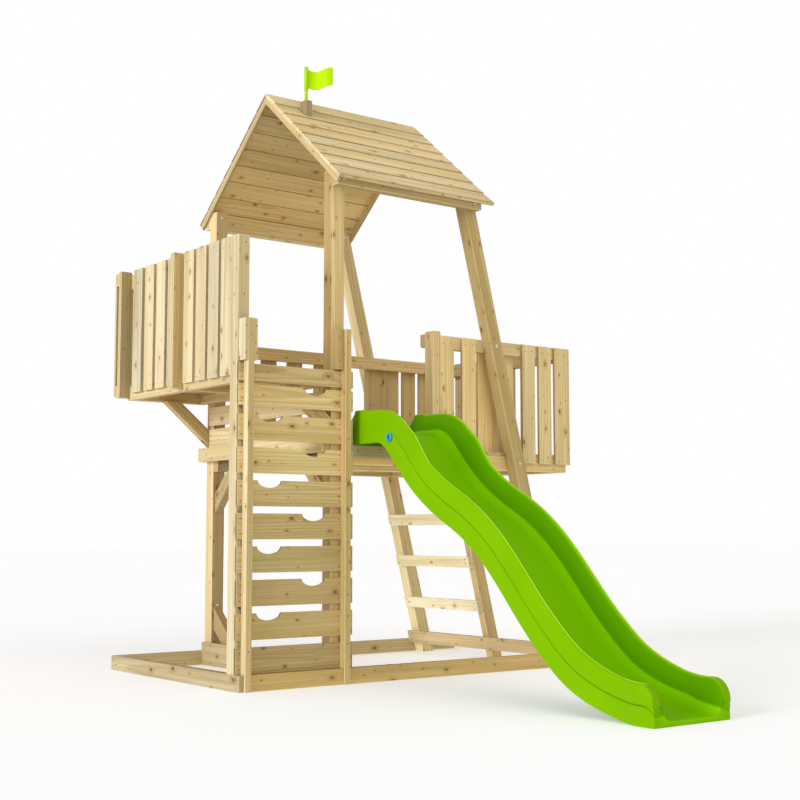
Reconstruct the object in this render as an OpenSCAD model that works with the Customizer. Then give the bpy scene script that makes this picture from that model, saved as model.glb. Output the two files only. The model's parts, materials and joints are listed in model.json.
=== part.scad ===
// Timber climbing tower: roofed deck, raised lookout, side balcony, climbing wall, ladder, wavy slide.
// Units mm, +Z up, origin on the ground at the centre of the footprint box.
// Layout sizes are counted from the outer front left corner of the ground frame.

/* [Ground frame] */
// Depth of the ground frame, front face to back face
dep = 1260; // [1255:1:1275]
// Length of the two long ground beams
base_len = 2200; // [2150:5:2300]
// Height of the ground beams and of every deck beam
beam_h = 72; // [70:0.5:73]
// Thickness of beams, rails and braces
beam_t = 45; // [44:0.5:45]

/* [Tower] */
// Side of the square posts and legs
post_s = 70; // [69:0.5:70]
// Left face of the two upright tower posts
post_x = 505; // [504:0.5:506]
// Height of post and leg tops
plate_z = 2398; // [2390:1:2399]
// Sideways lean of the two slanted legs per unit of height
lean = 0.2555; // [0.254:0.0005:0.257]
// Right edge of the slanted legs at the ground
leg_x = 1980; // [1976:1:1982]

/* [Deck and balcony] */
// Top of the deck boards
deck_z = 1097; // [1092:1:1100]
// Thickness of deck and floor boards
floor_t = 20; // [18:0.5:20]
// Right end of deck beams
deck_end = 2070; // [2068:1:2075]
// Top of the balcony hand rails
rail_z = 1672; // [1660:1:1680]
// Thickness of slats and cladding boards
slat_t = 16; // [14:0.5:16]
// Width of slats
slat_w = 95; // [88:1:96]
// Width of the slats on the front and end of the balcony
balcony_slat_w = 88; // [80:1:88]
// Width of the wide boards beside the balcony legs
wide_slat_w = 118; // [100:1:118]

/* [Lookout] */
// Top of the lookout floor beams
look_z = 1436; // [1434:1:1438]
// Top of the near lookout post
look_top = 2018; // [2005:1:2030]
// Width of the lookout posts, across the lookout
look_w = 60; // [58:1:62]
// Thickness of the slats on the side of the lookout
look_slat_t = 22; // [20:0.5:22]

/* [Roof] */
// Slope of the roof in degrees
pitch = 40; // [39.5:0.1:40.5]
// Length of each slope under the boards
slope_len = 862; // [858:1:868]
// Left and right ends of the roof boards
roof_x0 = 490; // [484:1:496]
// Right end of the roof boards
roof_x1 = 1441; // [1436:1:1456]
// Boards on each slope
roof_n = 8; // [7:1:9]

/* [Climbing wall] */
// Spacing of the climbing boards
wall_pitch = 146; // [145:0.5:149]
// Height of each climbing board
wall_bh = 115; // [110:1:118]
// Underside of the lowest climbing board
wall_z0 = 73.2; // [73.2:0.1:75]
// Depth of each hand-hold notch
notch_d = 33; // [28:1:34]

/* [Slide] */
// Left face of the slide
slide_x = 612; // [608:1:616]
// Outer width of the slide
slide_w = 420; // [400:5:450]
// How far each side flares out at the foot of the slide
slide_flare = 18; // [10:1:20]
// Front tip of the slide, forward of the ground frame
slide_out = 1815; // [1800:5:1830]
// Height of the slide sides, square to the bed
side_h = 161; // [155:1:175]
// Height of the slide sides at the entry and the exit
side_e = 152; // [145:1:160]
// Thickness of the slide sides
side_t = 28; // [24:1:30]
// Amplitude of the wave in the bed
wave = 43; // [35:1:48]

/* [Flag] */
// Radius of the flag pole
pole_r = 8; // [7:0.5:9]
// Top of the flag pole
pole_top = 3044; // [3040:1:3060]

/* [Hidden] */
$fn = 48;
pine = [0.86, 0.76, 0.54];
pine_d = [0.80, 0.69, 0.47];
lime = [0.49, 0.80, 0.04];
flag_c = [0.62, 0.87, 0.05];
zinc = [0.72, 0.73, 0.74];
blue = [0.05, 0.48, 0.80];
eps = 0.5;

ridge_y = dep / 2;
apex_z = plate_z + 494;
rise = tan(pitch);
eave_y = ridge_y - slope_len * cos(pitch) - 18 * sin(pitch);
org_x = base_len / 2;
org_y = (dep - eave_y - slide_out) / 2;

yi = beam_t + post_s;                 // inner face of posts and legs
beam_z = deck_z - floor_t;            // top of the deck beams
b0 = beam_z - beam_h;                 // underside of the deck beams
px1 = post_x + post_s;
legw = post_s / cos(atan(lean));
wall_y = beam_t - slat_t;             // front face of the climbing boards
stile_y = wall_y - 40;
stile_lx = 25;
stile_rx = 548;
stile_w = 32;

function leg_r(z) = leg_x - lean * z;
function leg_l(z) = leg_r(z) - legw;
function leg_c(z) = leg_r(z) - legw / 2;

module place() { translate([-org_x, -org_y, 0]) children(); }
module bx(x0, x1, y0, y1, z0, z1) { translate([x0, y0, z0]) cube([x1 - x0, y1 - y0, z1 - z0]); }
module prism_y(y0, y1, pts) { translate([0, y1, 0]) rotate([90, 0, 0]) linear_extrude(height = y1 - y0) polygon(pts); }
module prism_x(x0, x1, pts) { translate([x0, 0, 0]) rotate([90, 0, 90]) linear_extrude(height = x1 - x0) polygon(pts); }
module back() { translate([0, dep, 0]) mirror([0, 1, 0]) children(); }

// ---- coach bolts: [x, y, z, length] ----
bz_plate = 2346;
look_r = look_w + 24;                 // inner face of the lookout side rail
bz_deck = b0 + 36;
bz_rail = rail_z - 36;
bz_look = look_z - 36;
bz_cross = 1094;
bolts_front = [
  [post_x + 35, 0, bz_plate, 105], [post_x + 35, yi + beam_t, bz_deck, 105],
  [leg_c(bz_plate), 0, bz_plate, 105], [leg_c(bz_deck), beam_t, bz_deck, 110],
  [leg_c(bz_rail), beam_t, bz_rail, 110]];
bolts_plate_back = [[post_x + 35, dep - yi, 2370, 85], [leg_c(2370), dep - yi, 2370, 85]];
bolts_side = [[post_x - beam_t, 102, bz_look, 110], [post_x - beam_t, dep - 102, bz_look, 110],
  [post_x - beam_t, 102, bz_cross, 110], [post_x - beam_t, dep - 102, bz_cross, 110]];
bolts_look = [[look_w + beam_t, 76, bz_look, 95], [look_r, 97, look_top - 44, 75],
  [look_w + beam_t, 673, bz_look, 95], [look_r, 673, look_top - 44, 75]];
module hole_y(b) { translate([b[0], b[1] - 20, b[2]]) rotate([-90, 0, 0]) cylinder(r = 4.4, h = b[3] + 20.5); }
module hole_ny(b) { translate([b[0], b[1] + 20, b[2]]) rotate([90, 0, 0]) cylinder(r = 4.4, h = b[3] + 20.5); }
module hole_x(b) { translate([b[0] - 20, b[1], b[2]]) rotate([0, 90, 0]) cylinder(r = 4.4, h = b[3] + 20.5); }
module hole_nx(b) { translate([b[0] + 20, b[1], b[2]]) rotate([0, -90, 0]) cylinder(r = 4.4, h = b[3] + 20.5); }
module bolt_solid(len) { union() { translate([0, 0, -5]) cylinder(r = 10, h = 5); translate([0, 0, -1]) cylinder(r = 4, h = len + 1); } }
module bolt_y(b) { translate([b[0], b[1], b[2]]) rotate([-90, 0, 0]) bolt_solid(b[3]); }
module bolt_ny(b) { translate([b[0], b[1], b[2]]) rotate([90, 0, 0]) bolt_solid(b[3]); }
module bolt_x(b) { translate([b[0], b[1], b[2]]) rotate([0, 90, 0]) bolt_solid(b[3]); }
module bolt_nx(b) { translate([b[0], b[1], b[2]]) rotate([0, -90, 0]) bolt_solid(b[3]); }

// ---- ground frame ----
module base_beam_front() color(pine) place() bx(beam_t, base_len, 0, beam_t, 0, beam_h);
module base_beam_back() color(pine) place() bx(beam_t, base_len, dep - beam_t, dep, 0, beam_h);
module base_beam_left() color(pine) place() bx(0, beam_t, 0, dep, 0, beam_h);
module base_tower_board() color(pine) place() bx(post_x - slat_t, post_x, beam_t, dep - beam_t, 0, 118);
module base_tower_tie() color(pine_d) place() bx(post_x + 12, post_x + 12 + beam_t, yi, dep - yi, 0, beam_h);
module base_leg_tie() color(pine) place()
  prism_y(60, dep - 46, [[leg_l(54) - 36, 54], [leg_l(54), 54], [leg_l(122), 122], [leg_l(122) - 36, 122]]);

// ---- tower posts and legs ----
module post_front_left() color(pine) place() difference() {
  bx(post_x, px1, beam_t, yi, 0, plate_z);
  hole_y(bolts_front[0]); hole_ny(bolts_front[1]); hole_x(bolts_side[0]); hole_x(bolts_side[2]);
}
module post_back_left() color(pine) place() difference() {
  bx(post_x, px1, dep - yi, dep - beam_t, 0, plate_z);
  hole_y(bolts_plate_back[0]); back() hole_ny(bolts_front[1]);
  hole_x(bolts_side[1]); hole_x(bolts_side[3]);
}
module leg_shape() { prism_y(beam_t, yi, [[leg_l(0), 0], [leg_r(0), 0], [leg_r(plate_z), plate_z], [leg_l(plate_z), plate_z]]); }
module leg_front() color(pine) place() difference() {
  leg_shape(); hole_y(bolts_front[2]); hole_y(bolts_front[3]); hole_y(bolts_front[4]);
}
module leg_back() color(pine) place() difference() {
  back() leg_shape();
  bx(1487, 1727, dep - yi - 1, dep - yi + slat_t + 0.3, 1039, rail_z - 1);
  hole_y(bolts_plate_back[1]); back() { hole_y(bolts_front[3]); hole_y(bolts_front[4]); }
}

// ---- braces ----
module lookout_braces() color(pine) place() {
  w = look_z - beam_h;
  prism_y(beam_t, 2 * beam_t, [[235, w], [325, w], [post_x, 1216], [post_x, 1132]]);
  prism_y(dep - 2 * beam_t, dep - beam_t, [[235, w], [325, w], [post_x, 1216], [post_x, 1132]]);
}
module deck_brace_shape() { prism_x(post_x + 12, post_x + 12 + beam_t, [[325, b0], [235, b0], [yi, 892], [yi, 787]]); }
module deck_braces() color(pine) place() { deck_brace_shape(); back() deck_brace_shape(); }
module foot_brace_shape() { prism_x(post_x + 12, post_x + 12 + beam_t, [[370, beam_h], [260, beam_h], [yi, 187], [yi, 297]]); }
module foot_brace() color(pine) place() back() foot_brace_shape();

// ---- deck ----
module deck_beam_front_shape() { difference() {
  bx(post_x, deck_end, yi, yi + beam_t, b0, beam_z); hole_ny(bolts_front[1]); hole_y(bolts_front[3]); } }
module deck_beam_front() color(pine) place() deck_beam_front_shape();
module deck_beam_back() color(pine) place() back() deck_beam_front_shape();
module joist_seat(b) { translate([b[0], b[1] - 1, b[2]]) rotate([-90, 0, 0]) cylinder(r = 11, h = 7); }
module deck_joists() color(pine_d) place() {
  difference() {
    bx(post_x + 12, post_x + 12 + beam_t, yi + beam_t, dep - yi - beam_t, b0, beam_z);
    joist_seat(bolts_front[1]);
    back() joist_seat(bolts_front[1]);
  }
  bx(1080, 1080 + beam_t, yi + beam_t, dep - yi - beam_t, b0, beam_z);
  bx(1640, 1640 + beam_t, yi + beam_t, dep - yi - beam_t, b0, beam_z);
  bx(deck_end - beam_t, deck_end, yi + beam_t, dep - yi - beam_t, b0, beam_z);
}
module hatch_trimmer() color(pine_d) place() bx(1640 + beam_t, deck_end - beam_t, 515, 515 + beam_t, b0, beam_z);
module deck_cross_beam() color(pine) place() difference() {
  bx(post_x - beam_t, post_x, 50, dep - 30, 1058, 1130); hole_x(bolts_side[2]); hole_x(bolts_side[3]); }
module slide_support_beam() color(pine_d) place() bx(px1 + 1, 1111, beam_t, yi, deck_z - 60, deck_z);
module deck_ledger() color(pine) place() bx(px1 + 1, 1125, yi, yi + beam_t, b0 - 24, b0 - 2);
module deck_boards() color(pine) place() {
  for (i = [0 : 11]) bx(508 + i * 101, 603 + i * 101, yi + eps, dep - yi - eps, beam_z, deck_z);
}
module hatch_side_boards() color(pine) place() {
  for (i = [0 : 2]) bx(1724 + i * 108, 1828 + i * 108, yi + eps, 560, beam_z, deck_z);
  bx(deck_end - beam_t + 3, deck_end, 566, dep - yi - eps, beam_z, deck_z);
}
module infill_boards() color(pine) place() {
  bx(post_x - slat_t, post_x, 95, dep - 95, 1132, 1228);
  bx(post_x - slat_t, post_x, 95, dep - 95, 1246, 1343);
}

// ---- balcony ----
module rail_shape(x0, up, h = beam_h) { difference() { bx(x0, deck_end, yi, yi + beam_t, rail_z - h + up, rail_z + up); hole_y(bolts_front[4]); } }
module balcony_rail_front() color(pine) place() rail_shape(1118, 0, 66);
module balcony_rail_back() color(pine) place() back() rail_shape(post_x, 10, 65);
module balcony_rail_end() color(pine) place() bx(deck_end - beam_t, deck_end, yi + beam_t, dep - yi - beam_t, rail_z - beam_h, rail_z);
module balcony_post() color(pine) place() bx(1112, 1112 + beam_t, beam_t, yi, b0, rail_z + 8);
module balcony_slats_outer() color(pine) place() {
  for (x = [1198, 1341, 1750, 1866, 1981]) bx(x, x + balcony_slat_w, yi - slat_t, yi, 1046, rail_z - 2);
  for (x = [796, 962, 1140, 1754, 1876, 1974]) bx(x, x + slat_w, dep - yi, dep - yi + slat_t, 1040, rail_z - 2);
}
module balcony_slats_inner() color(pine) place() {
  for (x = [1496, 1622]) bx(x, x + wide_slat_w, yi + beam_t, yi + beam_t + slat_t, deck_z + 1, rail_z - 2);
  // at the back they sit between the rail and the leg, which is housed over them
  difference() {
    for (x = [1488, 1608]) bx(x, x + wide_slat_w, dep - yi, dep - yi + slat_t, 1040, rail_z - 2);
    back() { hole_y(bolts_front[3]); hole_y(bolts_front[4]); }
  }
}
module balcony_slats_end() color(pine) place() {
  y0 = yi - slat_t;
  for (y = concat([for (i = [0 : 6]) y0 + i * 143], [dep - y0 - balcony_slat_w])) bx(deck_end, deck_end + slat_t, y, y + balcony_slat_w, 1046, rail_z - 2);
}

// ---- lookout ----
module lookout_post_near() color(pine) place() difference() {
  bx(0, look_w, beam_t, beam_t + 62, beam_h, look_top); hole_nx(bolts_look[0]); hole_nx(bolts_look[1]); }
module lookout_post_mid() color(pine) place() difference() {
  bx(0, look_w, 655, 691, look_z - 60, look_top + 16); hole_nx(bolts_look[2]); hole_nx(bolts_look[3]); }
module lookout_post_far() color(pine) place() bx(0, look_w, 1228, 1258, look_z - 60, look_top + 10);
module lookout_beam_outer() color(pine) place() difference() {
  bx(look_w, look_w + beam_t, beam_t, 1258, look_z - beam_h, look_z);
  hole_nx(bolts_look[0]); hole_nx(bolts_look[2]); }
module lookout_beam_inner() color(pine) place() difference() {
  bx(post_x - beam_t, post_x, beam_t, 1258, look_z - beam_h, look_z);
  hole_x(bolts_side[0]); hole_x(bolts_side[1]); }
module lookout_joists() color(pine_d) place() {
  for (y = [130, 607, 1213]) bx(look_w + beam_t, post_x - beam_t, y, y + beam_t, look_z - beam_h, look_z - floor_t);
}
module lookout_floor_boards() color(pine) place() {
  for (i = [0 : 2]) bx(look_w + beam_t + 2 + i * 118, look_w + beam_t + 117 + i * 118, beam_t, 1258, look_z - floor_t, look_z);
}
module lookout_rail_side() color(pine) place() difference() {
  bx(look_w, look_r, 86, 1258, look_top - 80, look_top - 8);
  hole_nx(bolts_look[1]); hole_nx(bolts_look[3]); }
module lookout_rails_back() color(pine) place() {
  bx(0, post_x, 1258, 1285, look_top - 62, look_top + 4);
  bx(0, post_x, 1258, 1285, look_z - 60, look_z);
}
module lookout_slats_side() color(pine) place() {
  for (y = [171, 289, 408, 529]) bx(look_w - look_slat_t, look_w, y, y + slat_w, look_z - 40, look_top + 16);
  for (y = [695, 817, 941, 1070]) bx(look_w - look_slat_t, look_w, y, y + slat_w, look_z - 40, look_top + 10);
}
module lookout_slats_back() color(pine) place() {
  for (i = [0 : 3]) bx(2 + i * 131, 2 + i * 131 + slat_w, 1285, 1285 + slat_t, look_z - 50, look_top + 2);
}

// ---- climbing wall ----
// outline of one rounded hand-hold, centred on x, with its top edge at z
function notch_pts(x, z) = concat([[x - 64, z + 1]], [for (a = [180 : 15 : 360]) [x + 64 * cos(a), z + notch_d * sin(a)]], [[x + 64, z + 1]]);
// i counts boards from the bottom; odd and even boards have the notch on opposite sides
module climb_board(i) {
  z = wall_z0 + i * wall_pitch;
  nx = (i % 2 == 0) ? 403 : 168;
  difference() {
    bx(0, 617, wall_y, beam_t, z, z + wall_bh);
    prism_y(wall_y - 1, beam_t + 1, notch_pts(nx, z + wall_bh));
  }
}
module climbing_boards() color(pine) place() {
  for (i = [0 : 7]) climb_board(i);
  difference() {
    bx(0, 617, wall_y, beam_t, 1248, 1344);
    prism_y(wall_y - 1, beam_t + 1, notch_pts(403, 1344));
  }
  bx(0, 617, wall_y, beam_t, 1358, look_z);
}
// the stiles are lapped over the ground beam, so a tongue runs down in front of it
module stile(x, top) { difference() { bx(x, x + stile_w, stile_y, wall_y, 0, top); bx(x - 1, x + stile_w + 1, -0.2, wall_y + 1, -1, beam_h + 0.2); } }
module wall_stile_left() color(pine) place() stile(stile_lx, 1635);
module wall_stile_right() color(pine) place() stile(stile_rx, 1630);
module grab_block_left() color(pine) place() difference() {
  bx(7, 74, stile_y + 1, beam_t, 1446, 1634);
  bx(stile_lx - 0.5, stile_lx + stile_w + 0.5, stile_y - 1, wall_y + 0.3, 1440, 1640);
}
module grab_block_right() color(pine) place() difference() {
  bx(507, stile_rx + stile_w, 4, beam_t, 1440, 1629);
  bx(stile_rx - 0.5, stile_rx + stile_w + 1, stile_y - 1, wall_y + 0.3, 1430, 1640);
}

// ---- ladder ----
module ladder_stile() color(pine) place()
  prism_y(535, 580, [[leg_l(0), 0], [leg_r(0), 0], [leg_r(b0), b0], [leg_l(b0), b0]]);
module rung(z0, z1) { prism_y(535, dep - 80, [[leg_l(z0) - 36, z0], [leg_l(z0), z0], [leg_l(z1), z1], [leg_l(z1) - 36, z1]]); }
module ladder_rungs() color(pine) place() { rung(728, 789); rung(496, 557); rung(260, 319); }

// ---- roof ----
module plate_shape() {
  prism_x(post_x, 1390, [[0, 2314], [beam_t, 2314], [beam_t, under(beam_t) - 0.4], [0, under(0) - 0.4]]);
}
module wall_plate_front() color(pine) place() difference() { plate_shape(); hole_y(bolts_front[0]); hole_y(bolts_front[2]); }
module wall_plate_back() color(pine) place() difference() { back() plate_shape(); hole_y(bolts_plate_back[0]); hole_y(bolts_plate_back[1]); }
// roof underside at y, counted from the front
function under(y) = apex_z - abs(ridge_y - y) * rise;
// thin rafters, flush with the board ends
module rafter_shape(x0, foot = 2) {
  prism_x(x0, x0 + 14.5, [up_slope(foot, -0.2), up_slope(foot, -27), [ridge_y - 0.25, apex_z - 27 / cos(pitch)], [ridge_y - 0.25, apex_z - 0.25 * rise - 0.3]]);
}
module rafters_left() color(pine) place() { rafter_shape(roof_x0); back() rafter_shape(roof_x0); }
module rafters_right() color(pine) place() { rafter_shape(roof_x1 - 14.5, 110); back() rafter_shape(roof_x1 - 14.5); }
// s runs up the slope from the eave, t is square to it
function up_slope(s, t) = [ridge_y - (slope_len - s) * cos(pitch) - t * sin(pitch), apex_z - (slope_len - s) * sin(pitch) + t * cos(pitch)];
module roof_slope() {
  bw = slope_len / roof_n;
  for (i = [0 : roof_n - 1]) {
    s0 = i * bw + (i == 0 ? 0 : 0.5);
    s1 = (i + 1) * bw - (i == roof_n - 1 ? 0.4 : 0);
    k = (i == roof_n - 1) ? 14 * rise : 0;
    prism_x(roof_x0, roof_x1, [up_slope(s0, 0), up_slope(s1, 0), up_slope(s1 + k, 14), up_slope(s0, 18)]);
  }
}
module roof_boards_front() color(pine) place() roof_slope();
module roof_boards_back() color(pine) place() back() roof_slope();

// ---- flag ----
flag_x = 650;
flag_y = ridge_y - 131;
flag_len = 128;
block_top = 2866;
sleeve_z0 = 2930;
sleeve_r = pole_r + 2.5;
function slope_s(y, t) = slope_len - (ridge_y - y - t * sin(pitch)) / cos(pitch);
function wave_y(u) = 11 * sin(320 * u) - 8 * u;
module ridge_block() color(pine_d) place() difference() {
  prism_x(flag_x - 20, flag_x + 20, [up_slope(slope_s(flag_y - 29, 18.4), 18.4), up_slope(slope_s(flag_y + 29, 18.4), 18.4),
    [flag_y + 29, block_top], [flag_y - 29, block_top]]);
  translate([flag_x, flag_y, block_top - 30]) cylinder(r = pole_r + 0.05, h = 40);
}
module flag_pole() color(flag_c) place() {
  union() {
    translate([flag_x, flag_y, block_top - 29.5]) cylinder(r = pole_r, h = pole_top - block_top + 29.5);
    translate([flag_x, flag_y, sleeve_z0 - 8]) cylinder(r = sleeve_r, h = 7.5);
    translate([flag_x, flag_y, pole_top - 5]) cylinder(r = sleeve_r, h = 7);
  }
}
// the flag is drawn along its rest direction, turned toward the slide
module flag() color(flag_c) place() difference() {
  union() {
    translate([flag_x, flag_y, sleeve_z0]) cylinder(r = sleeve_r, h = pole_top - 6 - sleeve_z0);
    translate([flag_x, flag_y, sleeve_z0 + 3]) rotate([0, 0, -37]) linear_extrude(height = pole_top - 12 - sleeve_z0)
      polygon(concat([for (i = [0 : 24]) [9 + i * flag_len / 24, wave_y(i / 24) + 2]], [for (i = [24 : -1 : 0]) [9 + i * flag_len / 24, wave_y(i / 24) - 2]]));
  }
  translate([flag_x, flag_y, sleeve_z0 - 1]) cylinder(r = pole_r + 0.08, h = pole_top - sleeve_z0);
}

// ---- slide ----
// y is counted from the front of the ground frame, negative forward
function smin(a, b, k) = let(h = max(0, min(1, 0.5 + 0.5 * (b - a) / k))) b + (a - b) * h - k * h * (1 - h);
function smax(a, b, k) = -smin(-a, -b, k);
function bed_line(y) = deck_z - 37 + 0.811 * (y + 230) - 15 + 15 * max(0, min(1, (y + 600) / 300)) - wave * (1 - 0.22 * max(0, min(1, (-950 - y) / 250))) * cos(360 * (-391 - y) / 880);
function bot_z(y) = max(0, smax(0, smin(deck_z, bed_line(y), 45), 140));
function ang(y) = atan2(bot_z(y + 4) - bot_z(y - 4), 8);
function clamp1(v) = max(0, min(1, v));
function tip(y) = sqrt(max(0, 1 - pow(1 - clamp1((y + slide_out) / 65), 2)));
function crown(y) = side_h - (side_h - side_e) * (clamp1((y + 210) / 60) + clamp1((-1400 - y) / 200)) + 23 * max(0, 1 - abs(y + 280) / 130);
function high(y) = (crown(y) - 84) * tip(y) + 84 - 52 * clamp1((y - 38) / 47);
function off(y, d) = [y - d * sin(ang(y)), bot_z(y) + d * cos(ang(y))];
s_back = 85;
s_n = 90;
function s_y(i) = s_back - (s_back + slide_out) * i / s_n;
bed_d = 48;
side_pts = concat([for (i = [0 : s_n]) [s_y(i), bot_z(s_y(i))]], [for (i = [s_n : -1 : 0]) off(s_y(i), high(s_y(i)))]);
chan_pts = concat([for (i = [0 : s_n]) off(s_y(i), bed_d * (i > s_n - 8 ? (s_n - i) / 8 * 0.6 + 0.4 : 1))], [for (i = [s_n : -1 : 0]) off(s_y(i), side_h + 40)]);
// the hollow under the bed stops short of the top end, which a cross rib closes
under_pts = concat([for (i = [s_n - 9 : -1 : 2]) off(s_y(i), bed_d - 10)], [[s_y(2), -200], [s_y(s_n - 9), -200]]);
// plan of the slide: straight sides that flare out at the foot
body_l = slide_x + slide_flare;
body_r = slide_x + slide_w - slide_flare;
plan_y = [s_back + 10, -1600, -1650, -1700, -1750, -1790, -slide_out - 10];
function flare_t(y) = clamp1((-1600 - y) / 190);
function plan_in(y) = slide_flare * (1 - flare_t(y) * flare_t(y) * (3 - 2 * flare_t(y)));
inlet = [-240, 1115];
module slide_chute() color(lime) place() difference() {
  intersection() {
    prism_x(slide_x, slide_x + slide_w, side_pts);
    translate([0, 0, -5]) linear_extrude(height = deck_z + 400) polygon(concat(
      [for (y = plan_y) [slide_x + plan_in(y), y]],
      [for (i = [len(plan_y) - 1 : -1 : 0]) [slide_x + slide_w - plan_in(plan_y[i]), plan_y[i]]]));
  }
  prism_x(body_l + side_t, body_r - side_t, concat([[s_back + 5, deck_z + bed_d]], chan_pts, [[s_back + 5, deck_z + 400]]));
  prism_x(body_l + side_t, body_r - side_t, under_pts);
  translate([body_l - 5, inlet[0], inlet[1]]) rotate([0, 90, 0]) cylinder(r = 13, h = side_t + 10);
}
module hose_inlet() color(blue) place() difference() {
  union() {
    translate([body_l - 9, inlet[0], inlet[1]]) rotate([0, 90, 0]) cylinder(r = 21, h = 8.7);
    translate([body_l - 1, inlet[0], inlet[1]]) rotate([0, 90, 0]) cylinder(r = 12.6, h = side_t);
  }
  translate([body_l - 20, inlet[0], inlet[1]]) rotate([0, 90, 0]) cylinder(r = 9.5, h = side_t + 40);
}

// ---- coach bolts ----
module coach_bolts() color(zinc) place() {
  for (i = [0, 2, 3, 4]) bolt_y(bolts_front[i]);
  for (i = [3, 4]) back() bolt_y(bolts_front[i]);
  for (b = bolts_plate_back) bolt_y(b);
  bolt_ny(bolts_front[1]);
  back() bolt_ny(bolts_front[1]);
  for (b = bolts_side) bolt_x(b);
  for (b = bolts_look) bolt_nx(b);
}

base_beam_front();
base_beam_back();
base_beam_left();
base_tower_board();
base_tower_tie();
base_leg_tie();
post_front_left();
post_back_left();
leg_front();
leg_back();
lookout_braces();
deck_braces();
foot_brace();
deck_beam_front();
deck_beam_back();
deck_joists();
hatch_trimmer();
deck_cross_beam();
slide_support_beam();
deck_ledger();
deck_boards();
hatch_side_boards();
infill_boards();
balcony_rail_front();
balcony_rail_back();
balcony_rail_end();
balcony_post();
balcony_slats_outer();
balcony_slats_inner();
balcony_slats_end();
lookout_post_near();
lookout_post_mid();
lookout_post_far();
lookout_beam_outer();
lookout_beam_inner();
lookout_joists();
lookout_floor_boards();
lookout_rail_side();
lookout_rails_back();
lookout_slats_side();
lookout_slats_back();
climbing_boards();
wall_stile_left();
wall_stile_right();
grab_block_left();
grab_block_right();
ladder_stile();
ladder_rungs();
wall_plate_front();
wall_plate_back();
rafters_left();
rafters_right();
roof_boards_front();
roof_boards_back();
ridge_block();
flag_pole();
flag();
slide_chute();
hose_inlet();
coach_bolts();
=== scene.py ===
import json
import math
import random

import bmesh
import bpy
from mathutils import Matrix, Vector
from mathutils.geometry import tessellate_polygon


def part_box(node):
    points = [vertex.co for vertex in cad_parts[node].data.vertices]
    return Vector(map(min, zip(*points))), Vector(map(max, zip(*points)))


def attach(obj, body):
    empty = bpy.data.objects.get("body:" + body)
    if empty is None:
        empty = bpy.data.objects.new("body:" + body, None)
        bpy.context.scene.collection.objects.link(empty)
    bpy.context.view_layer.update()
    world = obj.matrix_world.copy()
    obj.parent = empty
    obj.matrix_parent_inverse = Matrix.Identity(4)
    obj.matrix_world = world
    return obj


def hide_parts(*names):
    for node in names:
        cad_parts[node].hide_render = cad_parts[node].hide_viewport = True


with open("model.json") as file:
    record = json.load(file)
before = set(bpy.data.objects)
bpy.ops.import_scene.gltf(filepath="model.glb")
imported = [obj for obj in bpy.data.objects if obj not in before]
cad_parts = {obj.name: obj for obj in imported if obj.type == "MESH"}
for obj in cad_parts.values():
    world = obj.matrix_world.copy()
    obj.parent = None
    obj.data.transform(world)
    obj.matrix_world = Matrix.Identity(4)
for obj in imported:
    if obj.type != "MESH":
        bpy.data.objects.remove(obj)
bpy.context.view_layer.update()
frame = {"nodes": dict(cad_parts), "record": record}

scene = bpy.context.scene
nodes = frame["nodes"]
O = Vector(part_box("base_beam_left")[0])  # outer front left corner of the ground frame, on the ground


def L(x, y, z):
    """Millimetres from that corner to metres in the shared frame."""
    return Vector((O.x + x / 1000, O.y + y / 1000, O.z + z / 1000))


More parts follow.
